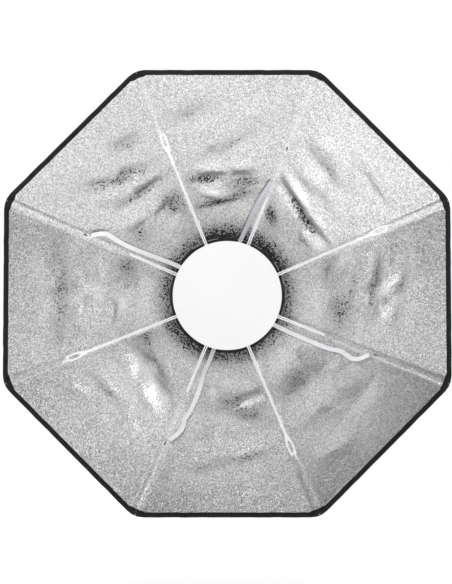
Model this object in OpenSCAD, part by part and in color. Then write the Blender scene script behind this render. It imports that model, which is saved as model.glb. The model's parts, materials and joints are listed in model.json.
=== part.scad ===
// Folding octagonal beauty-dish softbox.
// The opening faces -Y, +X is to the right and +Z is up.
// The origin is the centre of the adapter's seating face, where the lamp head meets it.
// Inside the modules the softbox stands on its axis: local +Z runs forwards, out of the opening.

/* [Canopy] */
// Width of the opening across its flats
across_flats = 650; // [560:10:760]
// Depth from the hinge circle to the opening's edge
canopy_depth = 250; // [220:5:280]
// Thickness of the sewn liner and shell together
cloth_t = 0.8; // [0.6:0.1:1.2]
// Distance from the hinge circle at which the cloth starts
cloth_start = 20; // [18:1:26]

/* [Frame] */
// Radius of the circle that the hinge pins stand on
hinge_r = 95; // [93:1:100]
// Height of the hinge pins above the seating face
hinge_h = 18; // [18:1:22]
// Radius of a fibreglass rod
rod_r = 2; // [1.6:0.1:2.4]
// Radius of a hinge pin
pin_r = 2; // [1.5:0.1:2.4]
// Radial clearance of a socket on its hinge pin
pin_clear = 0.05; // [0.02:0.01:0.1]
// Length of a socket from its pin to its mouth
socket_len = 46; // [38:1:50]

/* [Speedring] */
// Outer radius of the speedring
ring_r = 103; // [102:1:106]
// Thickness of the speedring's plate
ring_t = 7; // [6:0.5:7]
// Radius of the bore that the adapter turns in
ring_bore_r = 56; // [55:0.5:58]
// Radial clearance of the adapter in that bore
swivel_clear = 0.05; // [0.02:0.01:0.1]

/* [Adapter] */
// Radius of the opening that the flash tube stands in
lamp_bore_r = 43.5; // [40:0.5:44]
// Outer radius of the bayonet spigot
spigot_r = 47; // [46:0.5:48]
// Length of the bayonet spigot behind the seating face
spigot_len = 10; // [9:0.5:12]
// Outer radius of the three bayonet lugs
lug_r = 52; // [51:0.5:53]

/* [Deflector] */
// Radius of the deflector disc
disc_r = 89; // [80:1:90]
// Height of the disc's front face above the seating face
disc_h = 145; // [140:1:150]
// Thickness of the disc
disc_t = 1.2; // [1:0.1:2]
// How far the disc hangs below the softbox's axis on its cords
disc_drop = 2.5; // [0:0.5:4]
// Radius of an elastic cord
cord_r = 1.5; // [1:0.1:1.8]

/* [Hidden] */
RODS = 8;
HOOK_RODS = [1, 3, 5, 7];
TAPE_RODS = [2, 4, 6, 8];
// The side of its rod that each tape lies on: 1 is counter-clockwise from the front
TAPE_SIDES = [1, -1, 1, -1];

$fn = 64;

// The octagon and its eight gores
step = 360 / RODS;
half = step / 2;
corner_r = across_flats / 2 / cos(half);
rod_run = corner_r - hinge_r;
rod_angle = atan2(rod_run, canopy_depth);
rod_len = rod_run / sin(rod_angle);
gore_root_r = hinge_r * cos(half);
gore_run = across_flats / 2 - gore_root_r;
gore_angle = atan2(gore_run, canopy_depth);
gore_len = gore_run / sin(gore_angle);
root_half_w = hinge_r * sin(half);
rim_half_w = corner_r * sin(half);

// Gaps of the cloth beside rods, sockets, folds and seams
rod_gap = 3.4;
socket_gap = 9.5;
cap_gap = 4.6;
fold_gap = 0.4;
seam_gap = 0.4;
least_width = 1;
rod_slant = atan2(rim_half_w - root_half_w, gore_len);
fold_slant = atan2(rim_half_w, gore_len);
rod_inset = rod_gap / cos(rod_slant);
cap_inset = cap_gap / cos(rod_slant);
fold_inset = fold_gap / cos(fold_slant);
socket_end = 60;
root_end = gore_len * (1 - (rod_inset + fold_inset + least_width) / root_half_w);
flap_end = gore_len * (1 - (cap_inset - fold_inset) / root_half_w);

// Sockets and their ears
knuckle_r = 7;
knuckle_w = 10;
barrel_r = 4.6;
barrel_start = 5;
rod_seat = 16;
ear_gap = 0.3;
ear_t = 3;
ear_r = 7.4;
ear_y = knuckle_w / 2 + ear_gap;
pin_head_r = 3.2;
pin_head_t = 1.2;
plunger_r = 1.2;
plunger_out = 4.6;
plunger_gap = 0.2;
plunger_head = 1.5;

// Rod caps
cap_r = 3.2;
cap_len = 12;
cap_end = 3;
cap_wall = 1.5;
cap_clear = 0.05;
cap_at = rod_len - cap_end - cap_r - cap_len;

// Speedring plate, between the adapter's flange and the retaining ring
flange_t = 3;
swivel_gap = 0.1;
flange_r = 61;
plate_h = flange_t + swivel_gap;
plate_top = plate_h + ring_t;
hub_top = plate_top + swivel_gap;
vent_r = 9;
vent_at = 77;
boss_r = 5.6;
boss_h = plate_h + ring_t / 2;
boss_from = 62;
boss_end = 106;
collar_t = 1.2;
collar_h = 10;

// Retaining ring and its screws
retainer_t = 2;
retainer_r = 61;
retainer_screws = 4;
screw_at = 50;
screw_r = 1.5;
screw_head_r = 2.8;
screw_head_h = 1.4;
screw_len = 6;

// Bayonet lugs
lug_t = 3;
lug_sweep = 32;

// Rotation lock
lock_r = 2.5;
lock_clear = 0.05;
lock_tip = 0.4;
knob_r = 13;
knob_len = 15;
knob_at = 115;
knob_lobes = 6;
knob_scoop_r = 4.5;
knob_scoop_at = 15;
knob_seat = 4;

// Deflector hoop, eyelets and cords
hoop_r = 1.4;
hoop_at = disc_r - 7;
hoop_h = disc_h - disc_t - hoop_r;
eyelet_r = 2.6;
eyelet_gap = 0.05;
eyelet_at = hoop_at + hoop_r + eyelet_r + eyelet_gap;
eyelet_bore_r = 1.1;
eyelet_t = 1.6;
cord_start = eyelet_at + eyelet_r + 0.3;

// Hooks on the seams, in millimetres along the rod
hook_from = 188;
hook_to = 250;
hook_neck = 218;
hook_w = 10.5;
hook_neck_w = 4;
hook_t = 2.4;
hook_in = 5.6;
hook_slot_w = 5;
hook_slot_from = 226;
hook_slot_to = 242;
hook_shoulder = 243;
hook_tip_w = 4;
hook_loop_to = 266;
hook_loop_w = 2.4;
hook_loop_t = 1;
short_cord_to = 119;

// Sleeve tapes, in millimetres along the gore
tape_w = 7.5;
tape_t = 0.8;
tape_in = 3.5;
tape_from = 24;
tape_bend = 180;
tape_turn = 198;
tape_to = 208;
tape_side = 16;
tape_end_side = 9;

// Stands the softbox's axis up to local +Z and turns to rod i
module on_axis() {
    rotate([90, 0, 0]) children();
}
function rod_turn(i) = half + step * (i - 1);

// Local frame of rod i: +Z along the rod, +Y along its hinge pin, +X out of the canopy
module rod_frame(i) {
    on_axis()
        rotate([0, 0, rod_turn(i)])
            translate([hinge_r, 0, hinge_h])
                rotate([0, rod_angle, 0]) children();
}

// Flat frame of the gore on one side of rod i: X across the gore, Y along it, Z out of it.
// The rod lies on the +X side of that gore; side 1 mirrors it to the counter-clockwise gore.
module gore_frame(i, side) {
    on_axis()
        rotate([0, 0, rod_turn(i)])
            mirror([0, side > 0 ? 1 : 0, 0])
                rotate([0, 0, -half])
                    translate([gore_root_r, 0, hinge_h])
                        rotate([0, gore_angle, 0])
                            rotate([90, 0, 90]) children();
}
function rod_x(y) = root_half_w + (rim_half_w - root_half_w) * y / gore_len;
function fold_x(y) = rim_half_w * y / gore_len;

module bayonet_adapter() {
    color("silver") on_axis()
        difference() {
            union() {
                cylinder(r = flange_r, h = flange_t);
                cylinder(r = ring_bore_r - swivel_clear, h = hub_top);
                translate([0, 0, -spigot_len]) cylinder(r = spigot_r, h = spigot_len + 1);
                for (k = [0:2])
                    rotate([0, 0, 120 * k + 90 - lug_sweep / 2])
                        translate([0, 0, -spigot_len])
                            rotate_extrude(angle = lug_sweep)
                                translate([spigot_r - 1, 0]) square([lug_r - spigot_r + 1, lug_t]);
            }
            translate([0, 0, -spigot_len - 1]) cylinder(r = lamp_bore_r, h = hub_top + spigot_len + 2);
            for (k = [0:retainer_screws - 1])
                rotate([0, 0, k * 360 / retainer_screws])
                    translate([screw_at, 0, hub_top + retainer_t - screw_len])
                        cylinder(r = screw_r, h = screw_len + 1);
        }
}

module retaining_ring() {
    color("dimgray") on_axis()
        difference() {
            translate([0, 0, hub_top]) cylinder(r = retainer_r, h = retainer_t);
            translate([0, 0, hub_top - 1]) cylinder(r = lamp_bore_r + 1, h = retainer_t + 2);
            for (k = [0:retainer_screws - 1])
                rotate([0, 0, k * 360 / retainer_screws])
                    translate([screw_at, 0, hub_top - 1]) cylinder(r = screw_r, h = retainer_t + 2);
        }
}

module retaining_screws() {
    color("gainsboro") on_axis()
        for (k = [0:retainer_screws - 1])
            rotate([0, 0, k * 360 / retainer_screws])
                translate([screw_at, 0, hub_top + retainer_t]) {
                    translate([0, 0, -screw_len]) cylinder(r = screw_r, h = screw_len);
                    cylinder(r = screw_head_r, h = screw_head_h);
                }
}

// One ear of a hinge, with its foot in the speedring's plate
module ear(y) {
    translate([0, y, 0]) {
        translate([0, ear_t, hinge_h]) rotate([90, 0, 0]) cylinder(r = ear_r, h = ear_t);
        translate([-ear_r, 0, plate_top - 1]) cube([2 * ear_r, ear_t, hinge_h - plate_top + 1]);
    }
}

module speedring() {
    color("dimgray") on_axis()
        difference() {
            union() {
                translate([0, 0, plate_h]) cylinder(r = ring_r, h = ring_t);
                rotate([0, 90, -90])
                    translate([-boss_h, 0, boss_from]) cylinder(r = boss_r, h = boss_end - boss_from);
                for (i = [1:RODS])
                    rotate([0, 0, rod_turn(i)])
                        translate([hinge_r, 0, 0]) {
                            ear(ear_y);
                            ear(-ear_y - ear_t);
                        }
            }
            translate([0, 0, plate_h - 1]) cylinder(r = ring_bore_r, h = ring_t + 2);
            rotate([0, 90, -90])
                translate([-boss_h, 0, ring_bore_r - 2]) cylinder(r = lock_r + lock_clear, h = boss_end);
            for (i = [1:RODS]) {
                rotate([0, 0, rod_turn(i)])
                    translate([hinge_r, 0, hinge_h])
                        rotate([90, 0, 0])
                            cylinder(r = pin_r, h = 2 * (ear_y + ear_t) + 2, center = true);
                rotate([0, 0, rod_turn(i)])
                    translate([hinge_r - plunger_out, ear_y - 1, hinge_h])
                        rotate([-90, 0, 0]) cylinder(r = plunger_r, h = ear_t + 2);
                if (i != 6)
                    rotate([0, 0, rod_turn(i) + half])
                        translate([vent_at, 0, plate_h - 1]) cylinder(r = vent_r, h = ring_t + 2);
            }
        }
}

module hinge_pins() {
    color("gainsboro") on_axis()
        for (i = [1:RODS])
            rotate([0, 0, rod_turn(i)])
                translate([hinge_r, 0, hinge_h]) rotate([90, 0, 0]) {
                    cylinder(r = pin_r, h = 2 * (ear_y + ear_t), center = true);
                    for (s = [0, 1])
                        mirror([0, 0, s])
                            translate([0, 0, ear_y + ear_t]) cylinder(r = pin_head_r, h = pin_head_t);
                }
}

module spring_plungers() {
    color("goldenrod") on_axis()
        for (i = [1:RODS])
            rotate([0, 0, rod_turn(i)])
                translate([hinge_r - plunger_out, knuckle_w / 2 + plunger_gap, hinge_h])
                    rotate([-90, 0, 0]) cylinder(r = plunger_r, h = ear_gap + ear_t + plunger_head);
}

module canopy_collar() {
    color("black") on_axis()
        difference() {
            translate([0, 0, plate_h]) cylinder(r = ring_r + collar_t, h = collar_h);
            translate([0, 0, plate_h - 1]) cylinder(r = ring_r, h = collar_h + 2);
            rotate([0, 90, -90])
                translate([-boss_h, 0, ring_bore_r]) cylinder(r = boss_r + 0.3, h = boss_end);
        }
}

module lock_screw() {
    color("gainsboro") on_axis()
        rotate([0, 90, -90])
            translate([-boss_h, 0, ring_bore_r + lock_tip])
                cylinder(r = lock_r, h = knob_at + knob_seat - ring_bore_r - lock_tip);
}

module lock_knob() {
    color("black") on_axis()
        rotate([0, 90, -90])
            translate([-boss_h, 0, knob_at])
                difference() {
                    cylinder(r = knob_r, h = knob_len);
                    translate([0, 0, -1]) cylinder(r = lock_r, h = knob_seat + 1);
                    for (k = [0:knob_lobes - 1])
                        rotate([0, 0, k * 360 / knob_lobes])
                            translate([knob_scoop_at, 0, -1]) cylinder(r = knob_scoop_r, h = knob_len + 2);
                }
}

module deflector_disc() {
    color("white") on_axis()
        translate([0, -disc_drop, disc_h - disc_t]) cylinder(r = disc_r, h = disc_t, $fn = 96);
}

module deflector_hoop() {
    color("black") on_axis()
        translate([0, -disc_drop, hoop_h])
            rotate_extrude() translate([hoop_at, 0]) circle(r = hoop_r, $fn = 16);
}

module deflector_eyelets() {
    color("gainsboro") on_axis()
        for (i = [1:RODS])
            translate([0, -disc_drop, 0]) rotate([0, 0, rod_turn(i)])
                difference() {
                    union() {
                        translate([eyelet_at, 0, hoop_h]) cylinder(r = eyelet_r, h = eyelet_t, center = true, $fn = 32);
                        translate([hoop_at + hoop_r, -1, hoop_h - eyelet_t / 2]) cube([1.5, 2, eyelet_t]);
                    }
                    translate([eyelet_at, 0, hoop_h])
                        cylinder(r = eyelet_bore_r, h = eyelet_t + 2, center = true, $fn = 32);
                }
}

// Cord from rod i's eyelet on the disc to the point (along, out) in that rod's frame
module cord(i, along, out) {
    turn = rod_turn(i);
    end_r = hinge_r + along * sin(rod_angle) + out * cos(rod_angle);
    end_h = hinge_h + along * cos(rod_angle) - out * sin(rod_angle);
    start = [cord_start * cos(turn), cord_start * sin(turn) - disc_drop, hoop_h];
    run = [end_r * cos(turn), end_r * sin(turn), end_h] - start;
    on_axis()
        translate(start)
            rotate([0, acos(run.z / norm(run)), atan2(run.y, run.x)])
                cylinder(r = cord_r, h = norm(run), $fn = 24);
}

module long_cords() {
    color("white")
        for (i = HOOK_RODS) cord(i, hook_from - 2.5, -hook_in + hook_t / 2);
}

module short_cords() {
    color("white")
        for (i = TAPE_RODS) cord(i, short_cord_to, -5);
}

// Outline of a tape beside its rod: straight, then an S-bend towards the sleeve's mouth
module tape_outline() {
    left = [
        for (p = [[tape_from, tape_side], [tape_bend, tape_side], [tape_turn, tape_end_side], [tape_to, tape_end_side]])
            [rod_x(p[0]) - p[1], p[0]]
    ];
    right = [for (k = [3:-1:0]) left[k] + [tape_w, 0]];
    translate([-tape_w / 2, 0]) polygon(concat(left, right));
}

module sleeve_tapes() {
    color("white")
        for (k = [0:3])
            gore_frame(TAPE_RODS[k], TAPE_SIDES[k])
                translate([0, 0, -tape_in]) linear_extrude(tape_t) tape_outline();
}

module hook(i) {
    color("white") rod_frame(i)
        translate([-hook_in, 0, 0]) rotate([90, 0, 90]) {
            linear_extrude(hook_t)
                difference() {
                    polygon([
                        [-hook_neck_w / 2, hook_from], [hook_neck_w / 2, hook_from],
                        [hook_neck_w / 2, hook_neck], [hook_w / 2, hook_neck + 6],
                        [hook_w / 2, hook_shoulder], [hook_tip_w / 2, hook_to],
                        [-hook_tip_w / 2, hook_to], [-hook_w / 2, hook_shoulder],
                        [-hook_w / 2, hook_neck + 6], [-hook_neck_w / 2, hook_neck]
                    ]);
                    translate([-hook_slot_w / 2, hook_slot_from])
                        square([hook_slot_w, hook_slot_to - hook_slot_from]);
                }
            translate([-hook_loop_w / 2, hook_to + 0.2, (hook_t - hook_loop_t) / 2])
                cube([hook_loop_w, hook_loop_to - hook_to, hook_loop_t]);
        }
}

module socket(i) {
    color("black") rod_frame(i)
        difference() {
            union() {
                rotate([90, 0, 0]) cylinder(r = knuckle_r, h = knuckle_w, center = true);
                translate([0, 0, barrel_start]) cylinder(r = barrel_r, h = socket_len - barrel_start);
            }
            rotate([90, 0, 0]) cylinder(r = pin_r + pin_clear, h = knuckle_w + 2, center = true);
            translate([0, 0, rod_seat]) cylinder(r = rod_r, h = socket_len);
        }
}

// A fibreglass rod, and the cap on its end as a separate solid
module rod(i) {
    color("white") rod_frame(i)
        translate([0, 0, rod_seat]) cylinder(r = rod_r, h = cap_at + cap_len - cap_wall - rod_seat);
    color("black") rod_frame(i)
        translate([0, 0, cap_at])
            difference() {
                union() {
                    cylinder(r = cap_r, h = cap_len);
                    translate([0, 0, cap_len]) sphere(r = cap_r);
                }
                translate([0, 0, -1]) cylinder(r = rod_r + cap_clear, h = cap_len - cap_wall + 1 + cap_clear);
            }
}

// Cloth beside the rod that stays with it when the canopy folds
module root_outline() {
    polygon([
        [fold_x(cloth_start) + fold_inset, cloth_start],
        [rod_x(cloth_start) - socket_gap, cloth_start],
        [rod_x(socket_end) - socket_gap, socket_end],
        [rod_x(socket_end) - rod_inset, socket_end],
        [rod_x(root_end) - rod_inset, root_end],
        [fold_x(root_end) + fold_inset, root_end]
    ]);
}

// Cloth between the fold line and the middle of the gore
module flap_outline() {
    polygon([
        [seam_gap, cloth_start],
        [fold_x(cloth_start) - fold_inset, cloth_start],
        [fold_x(flap_end) - fold_inset, flap_end],
        [rim_half_w - cap_inset, gore_len],
        [seam_gap, gore_len]
    ]);
}

module cloth() {
    translate([0, 0, -cloth_t / 2]) linear_extrude(cloth_t) children();
}

module gore_root(i) {
    color("silver")
        for (side = [-1, 1])
            gore_frame(i, side) cloth() root_outline();
}

module gore_flap(i, side) {
    color("gainsboro") gore_frame(i, side) cloth() flap_outline();
}

bayonet_adapter();
retaining_ring();
retaining_screws();
speedring();
hinge_pins();
spring_plungers();
canopy_collar();
lock_screw();
lock_knob();
deflector_disc();
deflector_hoop();
deflector_eyelets();
long_cords();
short_cords();
sleeve_tapes();
for (i = HOOK_RODS)
    hook(i);
for (i = [1:RODS]) {
    socket(i);
    rod(i);
    gore_root(i);
    gore_flap(i, -1);
    gore_flap(i, 1);
}
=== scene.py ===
import json
import math
import random

import bpy
import numpy as np
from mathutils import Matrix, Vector


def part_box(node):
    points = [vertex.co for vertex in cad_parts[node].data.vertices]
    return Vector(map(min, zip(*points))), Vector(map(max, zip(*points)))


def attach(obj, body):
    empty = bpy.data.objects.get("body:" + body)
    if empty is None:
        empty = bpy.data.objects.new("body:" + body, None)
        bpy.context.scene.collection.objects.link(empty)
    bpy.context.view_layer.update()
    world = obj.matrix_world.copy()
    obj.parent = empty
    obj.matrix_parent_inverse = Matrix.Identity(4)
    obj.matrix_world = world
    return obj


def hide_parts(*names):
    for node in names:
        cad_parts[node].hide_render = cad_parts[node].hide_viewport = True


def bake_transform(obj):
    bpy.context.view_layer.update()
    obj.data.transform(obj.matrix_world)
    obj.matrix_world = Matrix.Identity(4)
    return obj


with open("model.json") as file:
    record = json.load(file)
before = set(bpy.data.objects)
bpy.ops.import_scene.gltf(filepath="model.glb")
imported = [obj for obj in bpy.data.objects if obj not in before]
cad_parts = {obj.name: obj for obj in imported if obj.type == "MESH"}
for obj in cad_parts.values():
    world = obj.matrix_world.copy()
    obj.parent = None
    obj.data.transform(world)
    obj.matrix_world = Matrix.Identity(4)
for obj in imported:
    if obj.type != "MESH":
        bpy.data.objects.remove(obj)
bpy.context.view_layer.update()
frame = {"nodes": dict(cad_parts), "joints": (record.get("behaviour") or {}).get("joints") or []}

# ------------------------------------------------
# Sizes, in metres, read from the frame.
# The softbox's axis is Y and it opens towards -Y. A height is a distance along
# -Y from the adapter's seating face; a radius is a distance from the Y axis.
# ------------------------------------------------
JOINTS = {j["name"]: j for j in frame["joints"]}
RODS = range(1, 9)
HOOK_RODS = (1, 3, 5, 7)
TAPE_SIDE = {2: 1, 4: -1, 6: 1, 8: -1}
# The two half gores beside a rod: clockwise of it and counter-clockwise of it
SIDES = {-1: "a", 1: "b"}
STEP = math.radians(45)
HALF = STEP / 2

hinge = JOINTS["rod_1_fold"]["pos_m"]
HINGE_R = math.hypot(hinge[0], hinge[2])
HINGE_H = -hinge[1]
rim_low, rim_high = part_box("gore_flap_1a")
RIM_R = rim_high.x
RIM_H = -rim_low.y
CORNER_R = RIM_R / math.cos(HALF)
ROD_ANGLE = math.atan2(CORNER_R - HINGE_R, RIM_H - HINGE_H)
ROD_LEN = math.hypot(CORNER_R - HINGE_R, RIM_H - HINGE_H)
GORE_R = HINGE_R * math.cos(HALF)
GORE_ANGLE = math.atan2(RIM_R - GORE_R, RIM_H - HINGE_H)
GORE_LEN = math.hypot(RIM_R - GORE_R, RIM_H - HINGE_H)
ROOT_W = HINGE_R * math.sin(HALF)
RIM_W = CORNER_R * math.sin(HALF)
ROD_SLANT = math.atan2(RIM_W - ROOT_W, GORE_LEN)

disc_low, disc_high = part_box("deflector_disc")
DISC_R = disc_high.x
DISC_H = -disc_low.y
DISC_BACK = -disc_high.y
collar_low, collar_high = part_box("canopy_collar")
COLLAR_R = collar_high.x
COLLAR_H = -collar_low.y

CLOTH_START = 0.019
CORNER_FILLET = 0.036


def rod_turn(k):
    """Angle of rod k round the axis, counter-clockwise from +X as seen from the front."""
    return HALF + STEP * (k - 1)


def rod_x(v):
    """Distance of the rod's line from the middle of its gore, v along the gore."""
    return ROOT_W + (RIM_W - ROOT_W) * v / GORE_LEN


def smooth(t):
    """0 up to 0, rising smoothly to 1 at 1."""
    t = np.clip(t, 0, 1)
    return t * t * (3 - 2 * t)


def bell(t):
    """1 at 0, falling smoothly to 0 at 1."""
    return 1 - smooth(np.abs(t))


def rod_off(u, v):
    """Distance from the rod's line, square to it."""
    return (rod_x(v) - u) * math.cos(ROD_SLANT)


LEAN = math.tan(math.asin(math.cos(GORE_ANGLE) * math.sin(HALF)))
LEAN_BAND = 0.014


def gore_point(k, side, u, v, inward):
    """Point beside rod k, on its counter-clockwise side (1) or clockwise side (-1):
    u from the gore's middle towards the rod, v along the gore, inward off its plane.
    Close to the rod the way inward leans over, so that both sides of a seam meet over the rod."""
    lean = LEAN * inward * bell(np.clip(rod_off(u, v), 0, None) / LEAN_BAND)
    u = u - lean * math.cos(ROD_SLANT)
    v = v + lean * math.sin(ROD_SLANT)
    psi = rod_turn(k) + side * HALF
    radius = GORE_R + v * math.sin(GORE_ANGLE) - inward * math.cos(GORE_ANGLE)
    across = -side * u
    height = HINGE_H + v * math.cos(GORE_ANGLE) + inward * math.sin(GORE_ANGLE)
    return np.stack([
        radius * math.cos(psi) - across * math.sin(psi),
        -height + 0 * radius,
        radius * math.sin(psi) + across * math.cos(psi),
    ], -1)


def rod_point(k, along, aside=0.0, inward=0.0):
    """Point in rod k's own frame: along it, aside counter-clockwise, inward off it."""
    phi = rod_turn(k)
    radius = HINGE_R + along * math.sin(ROD_ANGLE) - inward * math.cos(ROD_ANGLE)
    height = HINGE_H + along * math.cos(ROD_ANGLE) + inward * math.sin(ROD_ANGLE)
    return Vector((
        radius * math.cos(phi) - aside * math.sin(phi),
        -height,
        radius * math.sin(phi) + aside * math.cos(phi),
    ))


def axis_point(radius, phi, height):
    return Vector((radius * math.cos(phi), -height, radius * math.sin(phi)))


# ------------------------------------------------
# Camera: the photograph looks along the axis from a little below it
# ------------------------------------------------
CAMERA_AWAY = 1.05
CAMERA_BELOW = math.radians(1.45)
# What the view takes in from top to bottom at the rim
VIEW_HEIGHT = 0.852
VIEW_SHIFT = -0.0021

camera = bpy.data.objects.new("camera", bpy.data.cameras.new("camera"))
bpy.context.scene.collection.objects.link(camera)
bpy.context.scene.camera = camera
back = Vector((0, -math.cos(CAMERA_BELOW), -math.sin(CAMERA_BELOW)))
camera.location = Vector((0, -RIM_H, 0)) + back * CAMERA_AWAY
camera.rotation_euler = (-back).to_track_quat("-Z", "Y").to_euler()
camera.data.lens = camera.data.sensor_width / 2 / (VIEW_HEIGHT / 2 / CAMERA_AWAY)
camera.data.shift_x = VIEW_SHIFT
camera.data.clip_start = 0.01
camera.data.clip_end = 50


# ------------------------------------------------
# Materials
# ------------------------------------------------
class Nodes:
    """A material's node tree, with a short way to add and join nodes."""

    def __init__(self, name, base, rough, metal=0.0, **inputs):
        self.mat = bpy.data.materials.new(name)
        self.mat.use_nodes = True
        self.tree = self.mat.node_tree
        self.shader = self.tree.nodes["Principled BSDF"]
        self.shader.inputs["Base Color"].default_value = (*base, 1)
        self.shader.inputs["Roughness"].default_value = rough
        self.shader.inputs["Metallic"].default_value = metal
        for key, value in inputs.items():
            self.shader.inputs[key.replace("_", " ")].default_value = value
        self.coords = self.tree.nodes.new("ShaderNodeTexCoord").outputs["Object"]

    def add(self, kind, *links, **values):
        made = self.tree.nodes.new("ShaderNode" + kind)
        for key, value in values.items():
            if hasattr(made, key):
                setattr(made, key, value)
            else:
                made.inputs[key.replace("_", " ")].default_value = value
        for socket, source in links:
            self.tree.links.new(source, made.inputs[socket])
        return made

    def noise(self, scale, detail=3.0, rough=0.55, stretch=(1, 1, 1)):
        spot = self.coords
        if stretch != (1, 1, 1):
            spot = self.add("Mapping", ("Vector", spot), Scale=stretch).outputs[0]
        made = self.add("TexNoise", ("Vector", spot), Scale=scale, Detail=detail, Roughness=rough)
        return made.outputs["Fac"]

    def cells(self, scale, feature="F1"):
        made = self.add("TexVoronoi", ("Vector", self.coords), Scale=scale, feature=feature)
        return made.outputs["Distance"]

    def weave(self, scale, way):
        """Threads side by side along X or Z."""
        made = self.add("TexWave", ("Vector", self.coords), Scale=scale, Distortion=0.4, bands_direction=way)
        return made.outputs["Fac"]

    def ramp(self, source, low, high, a=0.0, b=1.0):
        """Maps source from low..high to a..b."""
        node = self.add("MapRange", ("Value", source))
        for name, value in (("From Min", low), ("From Max", high), ("To Min", a), ("To Max", b)):
            node.inputs[name].default_value = value
        return node.outputs[0]

    def mix(self, source, a, b):
        """Colour between a and b by source."""
        node = self.add("Mix", data_type="RGBA")
        for slot, colour in ((6, a), (7, b)):
            if isinstance(colour, tuple):
                node.inputs[slot].default_value = (*colour, 1)
            else:
                self.tree.links.new(colour, node.inputs[slot])
        self.tree.links.new(source, node.inputs[0])
        return node.outputs[2]

    def math(self, operation, a, b):
        node = self.add("Math", operation=operation)
        for slot, value in ((0, a), (1, b)):
            if isinstance(value, (int, float)):
                node.inputs[slot].default_value = value
            else:
                self.tree.links.new(value, node.inputs[slot])
        return node.outputs[0]

    def to(self, socket, source):
        self.tree.links.new(source, self.shader.inputs[socket])

    def bump(self, *layers):
        """Bumps one over the other, each (height source, distance in metres)."""
        normal = None
        for source, distance in layers:
            node = self.add("Bump", ("Height", source), Strength=1.0, Distance=distance)
            if normal:
                self.tree.links.new(normal, node.inputs["Normal"])
            normal = node.outputs[0]
        self.to("Normal", normal)


def silver_cloth():
    """Metallised cloth with a pebbled face. A mesh attribute, -1 to 1, paints shade onto its pebbles
    above 0 (a darker tone, then dark pebbles) and paints highlights onto them below 0 (whitened pebbles)."""
    m = Nodes("silver_cloth", (0.8, 0.81, 0.8), 0.3, 0.9)
    pebble = m.cells(640, "SMOOTH_F1")
    grain = m.add("TexVoronoi", ("Vector", m.coords), Scale=680).outputs["Color"]
    patch = m.add("TexVoronoi", ("Vector", m.coords), Scale=520).outputs["Color"]
    chance = m.add("SeparateColor", ("Color", patch)).outputs["Red"]
    spread = m.add("SeparateColor", ("Color", grain)).outputs["Green"]
    fine = m.noise(1300, 2.0)
    crumple = m.noise(70, 4.0)
    painted_shade_and_highlight = m.add("Attribute", attribute_name="painted_shade_and_highlight").outputs["Fac"]
    # Painted shade where the attribute is above 0: a darker tone, then dark pebbles; painted highlight where
    # it is below 0: whitened pebbles
    painted_shade_tone = m.ramp(painted_shade_and_highlight, 0.0, 0.6, 0.0, 1.0)
    dark = m.ramp(m.math("SUBTRACT", m.ramp(painted_shade_and_highlight, 0.22, 0.95, 0.0, 0.93), chance), -0.04, 0.06)
    painted_highlight = m.ramp(painted_shade_and_highlight, -1.0, 0.0, 0.85, 0.0)
    plain = m.mix(spread, (0.4, 0.405, 0.4), (1.0, 1.0, 1.0))
    plain = m.mix(painted_highlight, plain, (1.0, 1.0, 1.0))
    plain = m.mix(painted_shade_tone, plain, (0.42, 0.42, 0.42))
    m.to("Base Color", m.mix(dark, plain, (0.035, 0.035, 0.035)))
    m.to("Roughness", m.ramp(fine, 0.3, 0.7, 0.2, 0.38))
    m.bump((crumple, 0.0014), (pebble, 0.0005), (fine, 0.00015))
    return m.mat


def black_cloth():
    m = Nodes("black_cloth", (0.016, 0.016, 0.018), 0.75, Sheen_Weight=0.35, Sheen_Roughness=0.4)
    warp = m.weave(325, "X")
    weft = m.weave(325, "Z")
    cloth = m.math("MULTIPLY", warp, weft)
    dust = m.noise(35, 5.0)
    m.to("Base Color", m.mix(m.ramp(dust, 0.35, 0.75), (0.012, 0.012, 0.014), (0.034, 0.034, 0.037)))
    m.to("Roughness", m.ramp(cloth, 0, 1, 0.62, 0.85))
    m.bump((dust, 0.0004), (cloth, 0.00025))
    return m.mat


def binding_cloth():
    m = Nodes("binding_cloth", (0.006, 0.006, 0.0065), 0.75, Specular_IOR_Level=0.25)
    rib = m.noise(900, 2.0)
    worn = m.noise(60, 4.0)
    m.to("Base Color", m.mix(m.ramp(worn, 0.3, 0.8), (0.004, 0.004, 0.0045), (0.012, 0.012, 0.013)))
    m.to("Roughness", m.ramp(rib, 0.3, 0.7, 0.55, 0.85))
    m.bump((rib, 0.0004))
    return m.mat


def white_paint():
    m = Nodes("deflector_white", (0.93, 0.93, 0.93), 0.55)
    grain = m.noise(1400, 3.0)
    cloud = m.noise(9, 3.0)
    m.to("Base Color", m.mix(m.ramp(cloud, 0.3, 0.7), (0.71, 0.71, 0.71), (0.69, 0.69, 0.695)))
    m.to("Roughness", m.ramp(grain, 0.3, 0.7, 0.48, 0.62))
    m.bump((grain, 0.00006))
    return m.mat


def white_braid(name, base, dark, scale):
    m = Nodes(name, base, 0.7, Sheen_Weight=0.3)
    strand = m.cells(scale)
    m.to("Base Color", m.mix(m.ramp(strand, 0.1, 0.7), base, dark))
    m.to("Roughness", m.ramp(strand, 0, 0.8, 0.6, 0.85))
    m.bump((strand, 0.0003))
    return m.mat


def plastic(name, base, light, rough, scale=900):
    m = Nodes(name, base, rough)
    grain = m.noise(scale, 4.0)
    wear = m.noise(25, 5.0)
    m.to("Base Color", m.mix(m.ramp(wear, 0.35, 0.75), base, light))
    m.to("Roughness", m.ramp(grain, 0.3, 0.7, rough - 0.08, rough + 0.08))
    m.bump((grain, 0.00008))
    return m.mat


def metal(name, base, worn, rough, brushed=(1, 1, 1)):
    m = Nodes(name, base, rough, 1.0)
    lines = m.noise(400, 4.0, stretch=brushed)
    wear = m.noise(40, 5.0)
    m.to("Base Color", m.mix(m.ramp(wear, 0.35, 0.75), base, worn))
    m.to("Roughness", m.ramp(lines, 0.3, 0.7, rough - 0.1, rough + 0.12))
    m.bump((lines, 0.00005))
    return m.mat


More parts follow.
